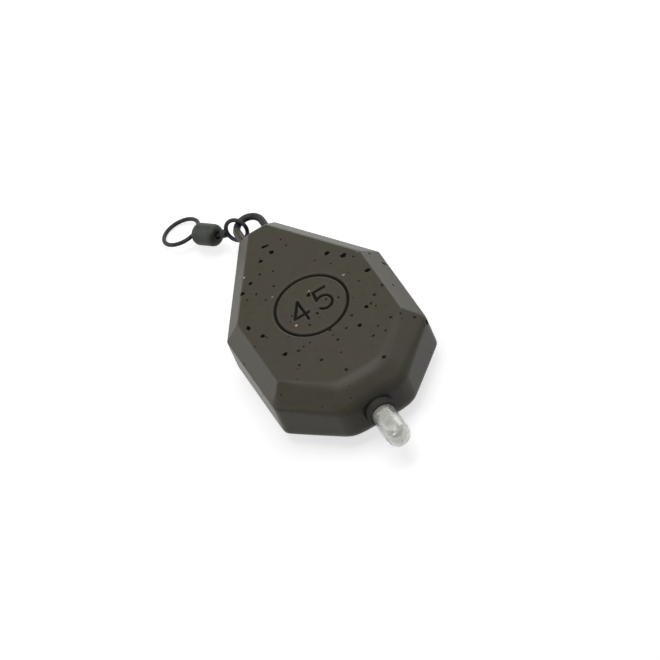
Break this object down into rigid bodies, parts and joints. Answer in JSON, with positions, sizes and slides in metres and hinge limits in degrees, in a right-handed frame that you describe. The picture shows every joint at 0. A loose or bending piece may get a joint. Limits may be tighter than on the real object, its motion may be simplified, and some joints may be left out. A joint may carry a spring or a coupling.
{
  "type": "fishing sinker",
  "caption": "Flat bevelled lead sinker with a speckled coat, a wire loop with a barrel swivel, and a push-in night light in its nose.",
  "frame": {"origin": "on the flat back face, midway between the nose and the narrow end of the weight", "axes": "+X across the weight, +Y along it towards the wire loop and swivel, +Z out of the front face"},
  "size_m": [0.031, 0.0763, 0.0128],
  "materials": {
    "lead": "bare cast lead, dull grey",
    "speckled_coat": "dipped dark olive-brown coat with black and a few pale specks, satin",
    "dark_wire": "matt gunmetal plated wire",
    "dark_barrel": "matt gunmetal plated barrel",
    "rubber": "soft dark rubber",
    "milky_tube": "milky translucent plastic",
    "clear_lamp": "clear cast resin",
    "tinned_leg": "tinned or nickel-plated steel",
    "lamp_chip": "yellow chip",
    "white_plastic": "plain white plastic",
    "brass": "turned brass",
    "can": "drawn bright can",
    "seal_plastic": "dark blue seal",
    "black_mix": "pressed black powder",
    "lithium": "soft grey metal"
  },
  "bodies": {
    "weight": {"cast_weight": "lead", "speckled_coat": "speckled_coat", "wire_loop": "dark_wire", "socket_sleeve": "rubber"},
    "small_eye": {"swivel_small_eye": "dark_wire"},
    "barrel": {"swivel_barrel": "dark_barrel"},
    "big_eye": {"swivel_big_eye": "dark_wire"},
    "light_stick": {"light_tube": "milky_tube", "led_lens": "clear_lamp", "led_cathode_leg": "tinned_leg", "led_anode_leg": "tinned_leg", "led_chip": "lamp_chip", "bush": "white_plastic", "pin_socket": "brass", "contact_cup": "tinned_leg"},
    "push_cap": {"end_cap": "white_plastic", "o_ring": "rubber"},
    "cell": {"battery_can": "can", "battery_gasket": "seal_plastic", "battery_pin": "tinned_leg", "battery_mix": "black_mix", "battery_separator": "white_plastic", "battery_lithium": "lithium"}
  },
  "joints": [
    {"name": "small_eye_swing", "type": "hinge", "parent": "weight", "child": "small_eye", "pos_m": [-0.0017, 0.0301, 0.0064], "axis": [0.7071, 0.7071, 0], "range_deg": [-115, 155]},
    {"name": "barrel_spin", "type": "hinge", "parent": "small_eye", "child": "barrel", "pos_m": [-0.00534, 0.03257, 0.00434], "axis": [-0.4925, 0.8197, -0.2924], "continuous": true},
    {"name": "big_eye_spin", "type": "hinge", "parent": "barrel", "child": "big_eye", "pos_m": [-0.00534, 0.03257, 0.00434], "axis": [-0.4925, 0.8197, -0.2924], "continuous": true},
    {"name": "light_pull", "type": "slide", "parent": "weight", "child": "light_stick", "axis": [0, -1, 0], "range_m": [0, 0.034]},
    {"name": "cap_press", "type": "slide", "parent": "light_stick", "child": "push_cap", "axis": [0, -1, 0], "range_m": [0, 0.0012]},
    {"name": "cell_press", "type": "slide", "parent": "light_stick", "child": "cell", "axis": [0, -1, 0], "range_m": [0, 0.0012]}
  ],
  "couplings": [
    {"joint": "cell_press", "follows": "cap_press", "ratio": 1}
  ]
}
